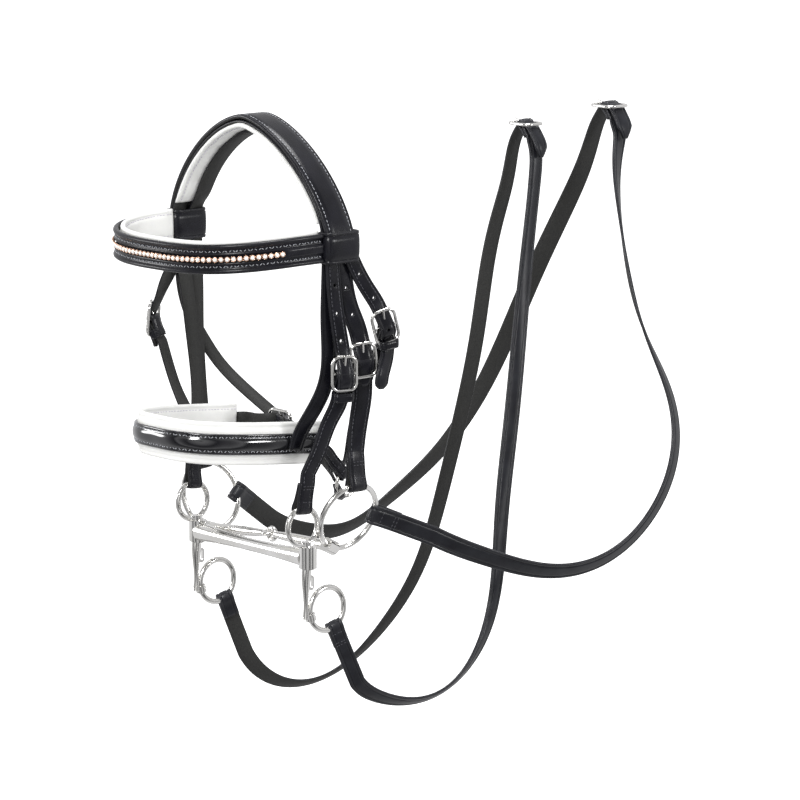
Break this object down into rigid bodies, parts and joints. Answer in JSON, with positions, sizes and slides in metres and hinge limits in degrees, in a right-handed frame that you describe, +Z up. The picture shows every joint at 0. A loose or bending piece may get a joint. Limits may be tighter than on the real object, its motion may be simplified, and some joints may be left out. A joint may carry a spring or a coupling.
{
  "type": "bridle",
  "caption": "Black double bridle with a crystal-set browband, white padding, a curb bit and a jointed bradoon, and reins for both bits.",
  "frame": {"origin": "middle of the curb bit's mouthpiece, where it lies in the horse's mouth", "axes": "+Z up, -Y the way the horse faces, +X its near (left) side"},
  "size_m": [0.2473, 0.4915, 0.487],
  "materials": {
    "leather": "smooth black leather with a satin sheen",
    "patent": "high-gloss black patent leather",
    "white_padding": "soft white leather over padding, matte",
    "steel": "polished stainless steel",
    "rose_gold": "polished rose-gold cups",
    "crystal": "faceted clear crystal"
  },
  "bodies": {
    "headstall": {"bradoon_cheekpiece_near": "leather", "bradoon_sliphead": "leather", "browband": "leather", "browband_loop_near": "leather", "browband_loop_off": "leather", "browband_padding": "white_padding", "buckle_bradoon_near": "steel", "buckle_cheek_near": "steel", "buckle_chin": "steel", "buckle_noseband_off": "steel", "buckle_throat_near": "steel", "cheek_billet_near": "leather", "chin_billet_off": "leather", "chin_strap_near": "leather", "chin_tab_near": "leather", "crown_padding": "white_padding", "crown_piece": "leather", "crystal_settings": "rose_gold", "crystals": "crystal", "curb_cheekpiece_near": "leather", "curb_cheekpiece_off": "leather", "noseband_facing": "patent", "noseband_hanger_off": "leather", "noseband_headstrap": "leather", "noseband_padding": "white_padding", "throat_billet_near": "leather", "throatlash": "leather"},
    "curb_bit": {"curb_mouthpiece": "steel", "curb_cheek_near": "steel", "curb_cheek_off": "steel"},
    "curb_rein_ring_near": {"curb_rein_ring_near": "steel"},
    "curb_rein_ring_off": {"curb_rein_ring_off": "steel"},
    "bradoon_ring_near": {"bradoon_ring_near": "steel"},
    "bradoon_ring_off": {"bradoon_ring_off": "steel"},
    "bradoon_arm_near": {"bradoon_arm_near": "steel"},
    "bradoon_arm_off": {"bradoon_arm_off": "steel"},
    "curb_reins": {"curb_rein_near": "leather", "curb_rein_off": "leather", "buckle_curb_reins": "steel"},
    "bradoon_reins": {"bradoon_rein_near": "leather", "bradoon_rein_off": "leather", "buckle_bradoon_reins": "steel"},
    "chin_ring": {"chin_ring": "steel"},
    "tongue_cheek_near": {"tongue_cheek_near": "steel"},
    "tongue_bradoon_near": {"tongue_bradoon_near": "steel"},
    "tongue_throat_near": {"tongue_throat_near": "steel"},
    "tongue_noseband_off": {"tongue_noseband_off": "steel"},
    "tongue_chin": {"tongue_chin": "steel"},
    "tongue_curb_reins": {"tongue_curb_reins": "steel"},
    "tongue_bradoon_reins": {"tongue_bradoon_reins": "steel"}
  },
  "joints": [
    {"name": "curb_bit_swing", "type": "hinge", "parent": "headstall", "child": "curb_bit", "pos_m": [0, -0.005, 0.025], "axis": [1, 0, 0], "range_deg": [-30, 4], "stiffness_Nm_per_rad": 60},
    {"name": "curb_rein_ring_turn_near", "type": "hinge", "parent": "curb_bit", "child": "curb_rein_ring_near", "pos_m": [0.068, 0.019, -0.043], "axis": [1, 0, 0], "continuous": true},
    {"name": "bradoon_ring_turn_near", "type": "hinge", "parent": "headstall", "child": "bradoon_ring_near", "pos_m": [0.076, 0.034, 0.029], "axis": [0.9511, 0, -0.309], "continuous": true},
    {"name": "curb_rein_ring_turn_off", "type": "hinge", "parent": "curb_bit", "child": "curb_rein_ring_off", "pos_m": [-0.068, 0.019, -0.043], "axis": [1, 0, 0], "continuous": true},
    {"name": "bradoon_ring_turn_off", "type": "hinge", "parent": "headstall", "child": "bradoon_ring_off", "pos_m": [-0.084, 0.026, 0.023], "axis": [0.9511, 0, 0.309], "continuous": true},
    {"name": "bradoon_arm_pivot_near", "type": "hinge", "parent": "headstall", "child": "bradoon_arm_near", "pos_m": [0.06857, 0.02174, 0.00612], "axis": [-0.1403, 0.891, -0.4318], "range_deg": [-4, 4], "stiffness_Nm_per_rad": 2},
    {"name": "bradoon_arm_pivot_off", "type": "hinge", "parent": "headstall", "child": "bradoon_arm_off", "pos_m": [-0.07616, 0.01677, -0.00113], "axis": [0.1057, 0.9397, -0.3253], "range_deg": [-5, 5]},
    {"name": "curb_reins_swing", "type": "hinge", "parent": "curb_bit", "child": "curb_reins", "pos_m": [0, 0.019, -0.043], "axis": [1, 0, 0], "range_deg": [-15, 15], "stiffness_Nm_per_rad": 60},
    {"name": "bradoon_reins_swing", "type": "hinge", "parent": "headstall", "child": "bradoon_reins", "pos_m": [-0.00407, 0.05695, 0.02443], "axis": [0.9981, 0.05, 0.0349], "range_deg": [-2, 2], "stiffness_Nm_per_rad": 60},
    {"name": "chin_ring_turn", "type": "hinge", "parent": "headstall", "child": "chin_ring", "pos_m": [0.057, 0.048, 0.05], "axis": [1, 0, 0], "continuous": true},
    {"name": "tongue_cheek_near_tilt", "type": "hinge", "parent": "headstall", "child": "tongue_cheek_near", "pos_m": [0.095, 0.0145, 0.1455], "axis": [0.309, 0.9511, 0], "range_deg": [0, 8]},
    {"name": "tongue_bradoon_near_tilt", "type": "hinge", "parent": "headstall", "child": "tongue_bradoon_near", "pos_m": [0.093, 0.0353, 0.1535], "axis": [0.3723, 0.9215, 0.1106], "range_deg": [0, 8]},
    {"name": "tongue_throat_near_tilt", "type": "hinge", "parent": "headstall", "child": "tongue_throat_near", "pos_m": [0.097, 0.054, 0.178], "axis": [0.2648, 0.9236, 0.2771], "range_deg": [0, 8]},
    {"name": "tongue_noseband_off_tilt", "type": "hinge", "parent": "headstall", "child": "tongue_noseband_off", "pos_m": [-0.092, -0.024, 0.17], "axis": [0.4677, -0.8795, 0.088], "range_deg": [0, 8]},
    {"name": "tongue_chin_tilt", "type": "hinge", "parent": "headstall", "child": "tongue_chin", "pos_m": [-0.008, 0.036, 0.093], "axis": [-0.0668, 0.1149, -0.9911], "range_deg": [0, 8]},
    {"name": "tongue_curb_reins_tilt", "type": "hinge", "parent": "curb_reins", "child": "tongue_curb_reins", "pos_m": [0, 0.288, 0.309], "axis": [0, 1, 0], "range_deg": [0, 8]},
    {"name": "tongue_bradoon_reins_tilt", "type": "hinge", "parent": "bradoon_reins", "child": "tongue_bradoon_reins", "pos_m": [0, 0.382, 0.317], "axis": [0, 1, 0], "range_deg": [0, 8]}
  ],
  "couplings": [
    {"joint": "bradoon_arm_pivot_off", "follows": "bradoon_arm_pivot_near", "ratio": -0.88961}
  ]
}
